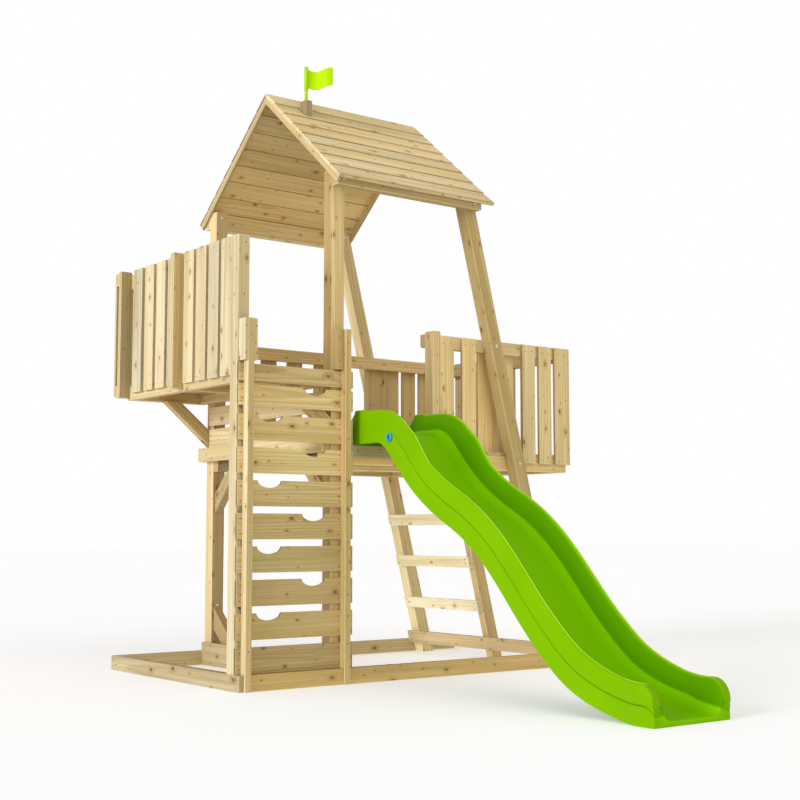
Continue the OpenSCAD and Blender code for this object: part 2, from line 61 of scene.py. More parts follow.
# ------------------------------------------------------------------ node graphs
class Graph:
    def __init__(self, name):
        self.mat = bpy.data.materials.new(name)
        self.mat.use_nodes = True
        self.nt = self.mat.node_tree
        self.nt.nodes.clear()
        self.out = self.nt.nodes.new("ShaderNodeOutputMaterial")
        self.bsdf = self.nt.nodes.new("ShaderNodeBsdfPrincipled")
        self.nt.links.new(self.bsdf.outputs[0], self.out.inputs["Surface"])

    def node(self, kind, **props):
        n = self.nt.nodes.new(kind)
        for k, v in props.items():
            setattr(n, k, v)
        return n

    def put(self, sock, v):
        if isinstance(v, bpy.types.NodeSocket):
            self.nt.links.new(v, sock)
        else:
            sock.default_value = v

    def attr(self, name):
        return self.node("ShaderNodeAttribute", attribute_type="GEOMETRY", attribute_name=name)

    def math(self, op, a, b=None, c=None):
        n = self.node("ShaderNodeMath", operation=op)
        for i, v in enumerate((a, b, c)):
            if v is not None:
                self.put(n.inputs[i], v)
        return n.outputs[0]

    def vec(self, op, a, b=None, scale=None):
        n = self.node("ShaderNodeVectorMath", operation=op)
        self.put(n.inputs[0], a)
        if b is not None:
            self.put(n.inputs[1], b)
        if scale is not None:
            self.put(n.inputs["Scale"], scale)
        return n.outputs["Value"] if op in ("LENGTH", "DOT_PRODUCT") else n.outputs["Vector"]

    def noise(self, v, stretch, detail=2.0, rough=0.5, colour=False):
        n = self.node("ShaderNodeTexNoise", noise_dimensions="3D")
        self.put(n.inputs["Vector"], self.vec("MULTIPLY", v, stretch))
        n.inputs["Scale"].default_value = 1.0
        n.inputs["Detail"].default_value = detail
        n.inputs["Roughness"].default_value = rough
        return n.outputs[1] if colour else n.outputs[0]

    def cells(self, v, stretch, flat=False):
        n = self.node("ShaderNodeTexVoronoi", voronoi_dimensions="2D" if flat else "3D", feature="F1")
        self.put(n.inputs["Vector"], self.vec("MULTIPLY", v, stretch))
        n.inputs["Scale"].default_value = 1.0
        return n.outputs["Distance"], n.outputs["Color"]

    def ease(self, v, a, b, lo=0.0, hi=1.0):
        n = self.node("ShaderNodeMapRange", interpolation_type="SMOOTHSTEP")
        self.put(n.inputs["Value"], v)
        n.inputs["From Min"].default_value = a
        n.inputs["From Max"].default_value = b
        n.inputs["To Min"].default_value = lo
        n.inputs["To Max"].default_value = hi
        return n.outputs[0]

    def mix(self, f, a, b, blend="MIX"):
        n = self.node("ShaderNodeMix", data_type="RGBA", blend_type=blend)
        self.put(n.inputs[0], f)
        for i, v in ((6, a), (7, b)):
            self.put(n.inputs[i], v if isinstance(v, bpy.types.NodeSocket) else (*v, 1.0))
        return n.outputs[2]

    def split(self, v, colour=False):
        n = self.node("ShaderNodeSeparateColor" if colour else "ShaderNodeSeparateXYZ")
        self.put(n.inputs[0], v)
        return n.outputs[0], n.outputs[1], n.outputs[2]

    def bump(self, height, strength, distance):
        n = self.node("ShaderNodeBump")
        n.inputs["Strength"].default_value = strength
        n.inputs["Distance"].default_value = distance
        self.put(n.inputs["Height"], height)
        self.nt.links.new(n.outputs[0], self.bsdf.inputs["Normal"])

    def set(self, **values):
        for k, v in values.items():
            self.put(self.bsdf.inputs[k.replace("_", " ")], v)


def timber_material():
    """Planed, pressure treated pine. The grain attribute is the place in the board: along, across, through, in metres."""
    g = Graph("treated_pine")
    p = g.attr("grain").outputs["Vector"]
    # tone holds the level, a warm shift, the ring figure and, in alpha, the cast; the level and the cast carry each
    # board's own tone and also painted shade and painted light set in make_timber
    tone = g.attr("tone")
    level_and_painted_light, warm, figure = g.split(tone.outputs["Color"], colour=True)
    end = g.attr("endgrain_and_shade").outputs["Fac"]
    arris = g.attr("arris").outputs["Fac"]

    # the log wanders a little, so the rings do
    wander = g.vec("SUBTRACT", g.noise(p, (0.9, 6, 6), 2, 0.5, colour=True), (0.5, 0.5, 0.5))
    pw = g.vec("ADD", p, g.vec("MULTIPLY", wander, (0.0, 0.026, 0.026)))

    # knots: some cells hold one, a few millimetres to a centimetre in radius
    bend = g.vec("MULTIPLY", g.vec("SUBTRACT", g.noise(p, (60, 60, 60), 2, 0.5, colour=True), (0.5, 0.5, 0.5)), (0.006, 0.004, 0.0))
    kd, kc = g.cells(g.vec("ADD", g.attr("face").outputs["Vector"], bend), (9.0, 15.0, 0.0), flat=True)
    k1, k2, k3 = g.split(kc, colour=True)
    radius = g.math("MULTIPLY_ADD", g.math("POWER", k1, 3.2), 0.085, 0.026)
    kn = g.math("DIVIDE", kd, radius)
    there = g.math("GREATER_THAN", k2, 0.40)
    core = g.math("MULTIPLY", g.ease(kn, 1.10, 0.70), there)
    rim = g.math("MULTIPLY", g.math("MULTIPLY", g.ease(kn, 0.70, 0.95), g.ease(kn, 1.25, 1.0)), there)
    halo = g.math("MULTIPLY", g.ease(kn, 4.2, 0.9), there)

    # growth rings
    x, y, z = g.split(pw)
    r = g.math("SQRT", g.math("ADD", g.math("MULTIPLY", y, y), g.math("MULTIPLY", z, z)))
    ripple = g.math("SUBTRACT", g.noise(p, (2.6, 26, 26), 3), 0.5)
    r = g.math("ADD", r, g.math("MULTIPLY", x, 0.011))
    r = g.math("ADD", r, g.math("MULTIPLY", ripple, 0.0044))
    r = g.math("ADD", r, g.math("MULTIPLY", halo, 0.009))
    t = g.math("FRACT", g.math("DIVIDE", r, 0.0118))
    late = g.math("MULTIPLY", g.ease(t, 0.30, 0.90), g.ease(t, 1.0, 0.93))

    streak = g.noise(p, (0.9, 52, 52), 5, 0.62)
    broad = g.noise(p, (0.8, 8, 8), 2)
    fibre = g.noise(p, (26, 640, 640), 3, 0.6)
    tint = g.noise(p, (0.9, 4.5, 4.5), 2)
    check = g.noise(p, (1.6, 150, 150), 2)

    c = g.mix(g.ease(broad, 0.34, 0.68), (0.700, 0.555, 0.310), (0.600, 0.455, 0.225))
    c = g.mix(g.math("MULTIPLY", late, g.math("MULTIPLY_ADD", figure, 0.36, 0.16)), c, (0.385, 0.255, 0.095))
    c = g.mix(g.ease(streak, 0.52, 0.72, 0.0, 0.46), c, (0.400, 0.282, 0.118))
    c = g.mix(g.ease(streak, 0.48, 0.30, 0.0, 0.50), c, (0.830, 0.705, 0.450))
    c = g.mix(g.ease(tint, 0.50, 0.74, 0.0, 0.45), c, (0.440, 0.385, 0.165))
    c = g.mix(g.ease(fibre, 0.45, 0.75, 0.0, 0.16), c, (0.360, 0.250, 0.110))
    c = g.mix(g.math("MULTIPLY", halo, 0.48), c, (0.390, 0.220, 0.070))
    knot = g.mix(k3, (0.110, 0.058, 0.025), (0.300, 0.165, 0.065))
    c = g.mix(g.math("MULTIPLY", core, 0.80), c, knot)
    c = g.mix(g.math("MULTIPLY", rim, 0.50), c, (0.080, 0.042, 0.020))
    # fine drying checks along the grain
    crack = g.math("MULTIPLY", g.ease(check, 0.735, 0.775), g.ease(broad, 0.50, 0.62))
    c = g.mix(g.math("MULTIPLY", crack, 0.75), c, (0.150, 0.095, 0.045))
    c = g.mix(g.ease(end, 0.0, 1.0, 0.0, 0.50), c, (0.430, 0.310, 0.150))
    # values above one are painted shade: board ends and slat edges in shadow go dark
    c = g.mix(g.ease(end, 1.0, 2.0, 0.0, 0.85), c, (0.150, 0.120, 0.050))
    # rounded edges paler: partly edge wear, partly a painted highlight
    c = g.mix(g.ease(arris, 0.0, 1.0, 0.0, 0.34), c, (0.820, 0.710, 0.480))
    # painted shade: on roof boards the rounded edges across the board go dark, for the shade in the joints
    c = g.mix(g.ease(arris, 0.0, -1.0, 0.0, 0.80), c, (0.095, 0.070, 0.030))
    c = g.mix(1.0, c, g.mix(warm, (1.05, 1.0, 0.90), (0.96, 1.0, 1.03)), "MULTIPLY")
    # the cast paints shade as deeper, more saturated colour and light as paler colour
    c = g.mix(1.0, c, g.mix(tone.outputs["Alpha"], (1.00, 0.82, 0.40), (1.00, 1.18, 1.60)), "MULTIPLY")
    # the level scales the colour: the board's own tone plus painted shade and painted light
    c = g.vec("SCALE", c, scale=g.math("MULTIPLY_ADD", level_and_painted_light, 0.90, 0.55))

    rough = g.math("MULTIPLY_ADD", fibre, 0.20, g.math("MULTIPLY_ADD", late, -0.10, 0.56))
    h = g.math("MULTIPLY_ADD", late, 0.45, g.math("MULTIPLY", fibre, 0.55))
    h = g.math("MULTIPLY_ADD", core, 0.5, h)
    h = g.math("MULTIPLY_ADD", crack, -1.6, h)
    g.set(Base_Color=c, Roughness=rough)
    g.bsdf.inputs["Specular IOR Level"].default_value = 0.32
    g.bump(h, 0.45, 0.0011)
    return g.mat


def slide_material():
    """Moulded plastic. The flow attribute is the place on the slide: down the bed, across, up from the foot of the wall."""
    g = Graph("slide_plastic_lime")
    f = g.attr("flow").outputs["Vector"]
    painted_shade = g.attr("painted_shade").outputs["Fac"]
    cloud = g.noise(f, (3.0, 5.0, 5.0), 3)
    peel = g.noise(f, (170, 170, 170), 2)
    pit = g.noise(f, (520, 520, 520), 2)
    scuff = g.noise(f, (2.4, 230, 40), 4, 0.7)
    rubbed = g.attr("rubbed").outputs["Fac"]
    c = g.mix(g.ease(cloud, 0.30, 0.70), (0.174, 0.405, 0.0006), (0.194, 0.440, 0.0010))
    # painted light: the inside of the chute is one plastic with the outside but coloured lighter and greener
    c = g.mix(g.attr("inside_painted_light").outputs["Fac"], c, (0.218, 0.585, 0.0002))
    # painted shade: the inner walls, the crease, the underside and the bed towards the exit darker
    c = g.mix(painted_shade, c, (0.060, 0.205, 0.0004))
    painted_highlight = g.attr("painted_highlight").outputs["Fac"]
    # painted highlight: a pale line along each rim crest, where the specular is turned off and the roughness raised
    c = g.mix(g.math("MULTIPLY", painted_highlight, 0.95), c, (0.520, 0.960, 0.055))
    marks = g.math("MULTIPLY", g.ease(scuff, 0.60, 0.80), rubbed)
    c = g.mix(g.math("MULTIPLY", marks, 0.14), c, (0.34, 0.62, 0.002))
    c = g.mix(g.ease(pit, 0.62, 0.80, 0.0, 0.10), c, (0.09, 0.28, 0.001))
    rough = g.math("MULTIPLY_ADD", marks, 0.16, g.math("MULTIPLY_ADD", cloud, 0.12, 0.30))
    g.set(Base_Color=c, Roughness=g.math("MULTIPLY_ADD", painted_highlight, 0.5, rough))
    g.put(g.bsdf.inputs["Specular IOR Level"], g.ease(painted_highlight, 0.0, 0.4, 0.035, 0.0))
    g.bsdf.inputs["Specular Tint"].default_value = (0.62, 1.0, 0.0, 1.0)
    g.bsdf.inputs["IOR"].default_value = 1.49
    g.bump(g.math("MULTIPLY_ADD", pit, 0.35, peel), 0.10, 0.0010)
    return g.mat


def plastic_material(name, dark, pale, rough, grain, sheen=(1.0, 1.0, 1.0)):
    g = Graph(name)
    p = g.node("ShaderNodeTexCoord").outputs["Object"]
    cloud = g.noise(p, (26, 26, 26), 3)
    fine = g.noise(p, (grain, grain, grain), 2)
    c = g.mix(g.ease(cloud, 0.30, 0.70), dark, pale)
    g.set(Base_Color=c, Roughness=g.math("MULTIPLY_ADD", fine, 0.16, rough))
    g.bsdf.inputs["Specular IOR Level"].default_value = 0.45
    g.bsdf.inputs["Specular Tint"].default_value = (*sheen, 1.0)
    g.bump(fine, 0.10, 0.0005)
    return g.mat


def zinc_material(name, dark, pale, rough):
    g = Graph(name)
    p = g.node("ShaderNodeTexCoord").outputs["Object"]
    spangle, tone = g.cells(p, (420, 420, 420))
    k1, _, _ = g.split(tone, colour=True)
    stain = g.noise(p, (60, 60, 60), 4, 0.6)
    c = g.mix(k1, dark, pale)
    c = g.mix(g.ease(stain, 0.55, 0.78, 0.0, 0.55), c, (0.20, 0.165, 0.13))
    g.set(Base_Color=c, Roughness=g.math("MULTIPLY_ADD", stain, 0.25, rough))
    g.bsdf.inputs["Metallic"].default_value = 0.85
    g.bump(stain, 0.15, 0.0005)
    return g.mat


def floor_material():
    g = Graph("studio_floor")
    p = g.node("ShaderNodeTexCoord").outputs["Object"]
    cloud = g.noise(p, (0.6, 0.6, 0.6), 3)
    c = g.mix(cloud, (0.92, 0.93, 0.985), (0.94, 0.95, 1.0))
    g.set(Base_Color=c, Roughness=g.math("MULTIPLY_ADD", cloud, 0.1, 0.75))
    g.bsdf.inputs["Specular IOR Level"].default_value = 0.1
    g.bsdf.inputs["Emission Color"].default_value = (1.0, 1.0, 1.0, 1.0)
    g.bsdf.inputs["Emission Strength"].default_value = FLOOR_GLOW
    return g.mat


FLOOR_GLOW = 0.235
PINE = timber_material()
LIME = slide_material()
FLAG = plastic_material("flag_plastic_yellow_green", (0.365, 0.655, 0.0014), (0.415, 0.700, 0.003), 0.40, 700, (0.8, 1.0, 0.0))
BLUE = plastic_material("inlet_plastic_blue", (0.010, 0.270, 0.470), (0.016, 0.340, 0.560), 0.34, 900)
ZINC = zinc_material("bolt_zinc", (0.55, 0.56, 0.57), (0.80, 0.81, 0.82), 0.26)
NAIL = zinc_material("nail_steel", (0.10, 0.085, 0.07), (0.22, 0.19, 0.16), 0.42)


# ------------------------------------------------------------------ helpers
def add_object(name, mesh, body, slot, mat, *replaced):
    o = bpy.data.objects.new(name, mesh)
    scene.collection.objects.link(o)
    mesh.materials.clear()
    mesh.materials.append(mat)
    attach(o, body)
    if replaced:
        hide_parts(*replaced)
    return o


def mark_sharp(bm, degrees):
    limit = math.radians(degrees)
    for f in bm.faces:
        f.smooth = True
    for e in bm.edges:
        e.smooth = len(e.link_faces) == 2 and e.calc_face_angle(0.0) < limit


def lathe(bm, base, axis, profile, n=24):
    """Turns (radius, height) points round an axis; a zero radius closes an end."""
    axis = axis.normalized()
    side = axis.orthogonal().normalized()
    other = axis.cross(side)
    rings = []
    for r, h in profile:
        if r <= 1e-9:
            rings.append([bm.verts.new(base + axis * h)])
        else:
            rings.append([bm.verts.new(base + axis * h + (side * math.cos(2 * math.pi * k / n) + other * math.sin(2 * math.pi * k / n)) * r)
                          for k in range(n)])
    faces = []
    for a, b in zip(rings, rings[1:]):
        for k in range(n):
            q = [a[k % len(a)], a[(k + 1) % n % len(a)], b[(k + 1) % n % len(b)], b[k % len(b)]]
            q = [v for i, v in enumerate(q) if v not in q[:i]]
            if len(q) > 2:
                faces.append(bm.faces.new(q))
    return rings, faces


# ------------------------------------------------------------------ timber
def boards_of(node):
    """The separate boards of a CAD node, each welded, with its flat faces in one piece."""
    bm = bmesh.new()
    bm.from_mesh(nodes[node].data)
    bmesh.ops.remove_doubles(bm, verts=bm.verts[:], dist=2e-5)
    left, groups = set(bm.verts), []
    while left:
        stack = [left.pop()]
        group = set(stack)
        while stack:
            v = stack.pop()
            for e in v.link_edges:
                w = e.other_vert(v)
                if w in left:
                    left.discard(w)
                    group.add(w)
                    stack.append(w)
        groups.append(group)
    out = []
    groups.sort(key=lambda s: tuple(round(c, 4) for c in min((v.co[:] for v in s))))
    for group in groups:
        b = bmesh.new()
        new = {}
        for v in sorted(group, key=lambda v: v.index):
            new[v] = b.verts.new(v.co)
        for f in bm.faces:
            if f.verts[0] in new:
                b.faces.new([new[v] for v in f.verts])
        bmesh.ops.recalc_face_normals(b, faces=b.faces[:])
        bmesh.ops.dissolve_limit(b, angle_limit=math.radians(0.6), verts=b.verts[:], edges=b.edges[:])
        out.append(b)
    bm.free()
    return out


def board_axes(b):
    """Along, across and through the board, from its own edges."""
    along = max((e for e in b.edges), key=lambda e: e.calc_length())
    a = (along.verts[0].co - along.verts[1].co).normalized()
    if max(a, key=abs) < 0:
        a = -a
    best, width = None, -1.0
    for f in b.faces:
        n = f.normal
        if abs(n.dot(a)) < 0.2:
            t = n.cross(a).normalized()
            s = [v.co.dot(t) for v in b.verts]
            if max(s) - min(s) > width + 1e-5:
                best, width = t, max(s) - min(s)
    return a, best, a.cross(best)


def make_timber(node, tone=(0.5, 0.5), spread=0.15, arris=None, axis=None, shaded_grooves=False, edge=0.0, cut_end=1.0, sides=(), each=(), height_shading=None, shaded_halves=(), lengthwise_shading=None):
    seed = random.Random("timber " + node)
    whole = bmesh.new()
    grain = whole.verts.layers.float_vector.new("grain")
    tones = whole.loops.layers.float_color.new("tone")
    ends = whole.faces.layers.float.new("endgrain_and_shade")
    arrises = whole.faces.layers.float.new("arris")
    face_map = whole.loops.layers.float_vector.new("face")
    for i, b in enumerate(boards_of(node)):
        a, w, t = board_axes(b)
        if axis is not None:
            a = Vector(axis)
            w = a.orthogonal()
            t = a.cross(w)
        thin = min(max(v.co.dot(d) for v in b.verts) - min(v.co.dot(d) for v in b.verts) for d in (a, w, t))
        size = arris or min(0.0040, max(0.0016, thin * 0.085))
        sharp = [e for e in b.edges if e.calc_length() > 0.008 and len(e.link_faces) == 2 and e.calc_face_angle(0.0) > math.radians(24)]
        cut = bmesh.ops.bevel(b, geom=sharp, offset=size, offset_type="OFFSET", segments=2, profile=0.6, affect="EDGES", clamp_overlap=True)
        rounded = set(cut["faces"])
        centre = sum((v.co for v in b.verts), Vector()) / len(b.verts)
        shift = Vector((seed.uniform(2, 60), seed.uniform(-0.06, 0.06), seed.choice((-1, 1)) * seed.uniform(0.012, 0.085)))
        level = tone[0] + seed.uniform(-1, 1) * spread
        colour = [each[i] if each else level, clip(tone[1] + seed.uniform(-1, 1) * 0.35), seed.random(), tone[2] if len(tone) > 2 else 0.5]
        # painted shade: boards whose middle lies in a span of depth are set darker, with their own cast
        for near, far, dim, cast in shaded_halves:
            if near <= (centre.y - O.y) * 1000 < far:
                colour[0], colour[3] = colour[0] + dim, cast
        made = {}
        for v in b.verts:
            n = whole.verts.new(v.co)
            d = v.co - centre
            n[grain] = Vector((d.dot(a), d.dot(w), d.dot(t))) + shift
            made[v] = n
        for f in b.faces:
            n = whole.faces.new([made[v] for v in f.verts])
            shade = list(colour)
            # painted shade and painted light: faces turned one way are set darker or lighter, with their own cast, for
            # how the light falls on them
            for way, dim, cast in sides:
                if f.normal.dot(Vector(way)) > 0.8:
                    shade[0], shade[3] = shade[0] + dim, cast
            # one is the end grain's own colour; a cut_end above one paints shade on the ends
            n[ends] = cut_end if abs(f.normal.dot(a)) > 0.75 and f not in rounded else 0.0
            # painted shade on the narrow side edges of slats, which sit in shade in the gaps between them
            if edge and abs(f.normal.dot(w)) > 0.6:
                n[ends] = edge
            flat = max((abs(f.normal.dot(w)), 1), (abs(f.normal.dot(t)), 2), (abs(f.normal.dot(a)), 0))[1]
            for l in n.loops:
                dim = 0.0
                # painted shade by height: the level falls where shade falls, low on the back post and high on the back
                # roof boards
                if height_shading:
                    (z0, d0), (z1, d1) = height_shading
                    dim = d0 + (d1 - d0) * clip((l.vert.co.z - z0) / (z1 - z0))
                # painted light and shade along X: the level ramps along the piece to stand in for where shadow and
                # light fall on it
                if lengthwise_shading:
                    (x0, d0), (x1, d1) = lengthwise_shading
                    dim += d0 + (d1 - d0) * clip(((l.vert.co.x - O.x) * 1000 - x0) / (x1 - x0))
                l[tones] = (shade[0] + dim, *shade[1:])
                g = l.vert[grain]
                l[face_map] = {2: Vector((g.x, g.y, 0.0)), 1: Vector((g.x + 131.0, g.z, 0.0)), 0: Vector((g.y + 70.0, g.z + 40.0, 0.0))}[flat]
            # rounded edges: 1 paints them pale, part edge wear and part painted highlight; -1 on roof boards paints
            # shade in the joints
            n[arrises] = (-1.0 if shaded_grooves and abs(f.normal.dot(a)) < 0.3 else 1.0) if f in rounded else 0.0
        b.free()
    mesh = bpy.data.meshes.new(node + "_timber")
    whole.to_mesh(mesh)
    whole.free()
    return add_object(node + "_timber", mesh, "tower", "pine", PINE, node)


def clip(v):
    return max(0.0, min(1.0, v))


# level, warm shift and cast of each piece; besides the wood's own tone these hold painted shade and painted light:
# pieces low down or under the roof are set darker, and pieces the lamps leave in shadow, such as the deck beam and
# ledger, lighter
TONES = {
    "climbing_boards": (0.26, 0.55, 0.38), "roof_boards_front": (0.74, 0.45, 0.56), "roof_boards_back": (0.79, 0.40, 0.52),
    "lookout_slats_side": (0.49, 0.45, 0.77), "lookout_slats_back": (0.30, 0.45), "balcony_slats_outer": (0.78, 0.55, 0.49),
    "balcony_slats_inner": (0.98, 0.55, 0.48), "base_beam_front": (0.33, 0.5, 0.17), "base_beam_left": (0.20, 0.6), "base_tower_board": (0.27, 0.5),
    "ladder_rungs": (0.76, 0.45, 0.75), "leg_front": (0.36, 0.55, 0.28), "leg_back": (0.68, 0.5, 0.54), "ridge_block": (-0.08, 0.5, 0.44),
    "slide_support_beam": (0.20, 0.5), "wall_stile_left": (0.44, 0.35, 0.44), "wall_stile_right": (0.46, 0.35, 0.37), "post_front_left": (0.58, 0.45, 0.46),
    "post_back_left": (0.50, 0.5, 0.40), "lookout_post_near": (0.64, 0.55, 0.61), "lookout_post_mid": (0.50, 0.5, 0.53), "lookout_post_far": (0.40, 0.6),
    "grab_block_right": (0.22, 0.5, 0.24), "balcony_rail_back": (0.70, 0.4, 0.46), "base_beam_back": (0.40, 0.5), "ladder_stile": (0.42, 0.5, 0.40),
    "wall_plate_back": (0.88, 0.5), "rafters_right": (0.30, 0.5), "balcony_slats_end": (0.46, 0.5), "base_leg_tie": (0.34, 0.5), "deck_beam_front": (1.25, 0.5, 0.46), "infill_boards": (0.60, 0.5, 0.66), "balcony_rail_end": (0.22, 0.5), "deck_ledger": (1.05, 0.5, 0.5), "deck_beam_back": (0.30, 0.5, 0.40), "rafters_left": (0.42, 0.5), "lookout_braces": (0.20, 0.5, 0.42), "deck_braces": (0.24, 0.5, 0.36), "foot_brace": (0.08, 0.5, 0.36), "deck_joists": (0.50, 0.5, 0.42),
}
EXTRA = {"balcony_slats_inner": {"spread": 0.05, "shaded_halves": [(700, 1400, -0.55, 0.42)]}, "lookout_slats_side": {"edge": 1.22, "each": (0.52, 0.44, 0.50, 0.62, 0.40, 0.55, 0.58, 0.42)}, "balcony_slats_outer": {"edge": 1.30, "shaded_halves": [(700, 1400, -0.27, 0.42)]},
         "lookout_post_mid": {"spread": 0.02, "sides": [((0, -1, 0), -0.08, 0.32)]}, "lookout_post_far": {"spread": 0.02, "sides": [((0, -1, 0), -0.25, 0.45)]},
         "roof_boards_front": {"arris": 0.0020, "shaded_grooves": True, "cut_end": 0.0, "spread": 0.10},
         "roof_boards_back": {"arris": 0.0020, "shaded_grooves": True, "cut_end": 2.0, "spread": 0.10, "height_shading": ((2.5, 0.0), (2.85, -0.42))},
         "climbing_boards": {"each": (0.21, 0.37, 0.22, 0.40, 0.40, 0.53, 0.71, 0.54, 0.65, 0.37), "cut_end": 1.9},
         "post_front_left": {"spread": 0.02, "sides": [((-1, 0, 0), -0.34, 0.25)]},
         "post_back_left": {"spread": 0.02, "height_shading": ((0.0, -0.36), (2.4, -0.12)), "sides": [((-1, 0, 0), 0.42, 0.45)]},
         "wall_stile_left": {"spread": 0.02, "sides": [((-1, 0, 0), 0.16, 0.67)]}, "wall_stile_right": {"spread": 0.02},
         "grab_block_left": {"spread": 0.02, "sides": [((-1, 0, 0), 0.15, 0.95)]}, "grab_block_right": {"spread": 0.02},
         "rafters_left": {"spread": 0.02, "shaded_halves": [(-200, 630, 0.02, 0.46)]}, "ladder_stile": {"spread": 0.02}, "deck_beam_front": {"spread": 0.02, "lengthwise_shading": ((500, 0.25), (2050, -0.75))},
         "leg_back": {"spread": 0.02, "sides": [((-0.97, 0, -0.25), 0.16, 0.62)]}, "deck_ledger": {"spread": 0.02}, "deck_joists": {"spread": 0.04, "lengthwise_shading": ((565, -0.80), (1080, 0.0))}, "infill_boards": {"spread": 0.03}}
TIMBER = [s["node"] for s in frame["record"]["subparts"] if s["material_slot"] == "pine"]
for name in TIMBER:
    make_timber(name, TONES.get(name, (0.5, 0.5)), **EXTRA.get(name, {}))


# ------------------------------------------------------------------ slide
DECK, WAVE, SIDE_H, SIDE_E, OUT, BACK, SX, SW, WALL, BED, FLARE = 1097.0, 43.0, 161.0, 152.0, 1815.0, 85.0, 612.0, 420.0, 28.0, 48.0, 18.0


def smin(a, b, k):
    h = clip(0.5 + 0.5 * (b - a) / k)
    return b + (a - b) * h - k * h * (1 - h)


def bottom(y):
    line = DECK - 37 + 0.811 * (y + 230) - 15 + 15 * clip((y + 600) / 300) - WAVE * (1 - 0.22 * clip((-950 - y) / 250)) * math.cos(2 * math.pi * (-391 - y) / 880)
    v = smin(DECK, line, 45)
    return max(0.0, -smin(0.0, -v, 140))


def tilt(y):
    return math.atan2(bottom(y + 4) - bottom(y - 4), 8)


def wall_height(y):
    full = SIDE_H - (SIDE_H - SIDE_E) * (clip((y + 210) / 60) + clip((-1400 - y) / 200)) + 23 * max(0.0, 1 - abs(y + 280) / 130)
    return (full - 84) * math.sqrt(max(0.0, 1 - (1 - clip((y + OUT) / 65)) ** 2)) + 84 - 52 * clip((y - 38) / 47)


def side_in(y):
    t = clip((-1600 - y) / 190)
    return FLARE * (1 - t * t * (3 - 2 * t))


def arc(cx, cy, r, a0, a1, n):
    return [(cx + r * math.cos(math.radians(a0 + (a1 - a0) * k / n)), cy + r * math.sin(math.radians(a0 + (a1 - a0) * k / n))) for k in range(n + 1)]


def slide_section(y):
    """Half a section from the outer foot over the rim to the middle of the bed, then the underside: (across, up, part)."""
    h = wall_height(y)
    late = clip((OUT + y) / 168.9)
    bed = BED * (0.4 + 0.6 * late)
    lug = 7.0 * clip((y + 34) / 5) * clip((40 - y) / 3)
    inset = 4.0 * clip((y + 34) / 4) + side_in(y)
    cut = clip((-196 - y) / 40)
    h = h + lug
    mid = 0.49 * h
    ro = 10.0
    pts = [(inset + 3.0 * cut, 0.0, "out"), (inset + 3.0 * cut, mid * 0.5, "out"), (inset + 3.0 * cut, mid - 6, "out"), (inset + 3.4 * cut, mid - 3, "out"),
           (inset + 5.6 * cut, mid - 0.6, "groove"), (inset + 4.6 * cut, mid + 1.4, "groove"), (inset + 0.8 * cut, mid + 3.0, "out"), (inset, mid + 6, "out"),
           (inset, mid + (h - mid) * 0.5, "out")]
    pts += [(x + inset, z, "crest" if k == 6 else "rim") for k, (x, z) in enumerate(arc(ro, h - ro, ro, 180, 90, 6))]
    ri = 15.0
    pts += [(x + FLARE, z, "crest" if k == 0 else "rim" if k < 4 else "in") for k, (x, z) in enumerate(arc(WALL - ri, h - ri, ri, 90, 0, 7))]
    cove = min(46.0, max(14.0, h - ri - bed - 6))
    foot = WALL + FLARE + 7.0
    pts += [(WALL + FLARE + 7.0 * clip((h - ri - z) / max(1.0, h - ri - bed - cove)), z, "in") for z in
            (h - ri - (h - ri - bed - cove) * k / 3 for k in (1, 2))]
    pts += [(x, z, "in" if k < 3 else "cove") for k, (x, z) in enumerate(arc(foot + cove, bed + cove, cove, 180, 270, 9))]
    pts += [(foot + cove + 30, bed, "bed"), (150.0, bed, "bed"), (180.0, bed, "bed"), (210.0, bed, "bed")]
    return pts, bed


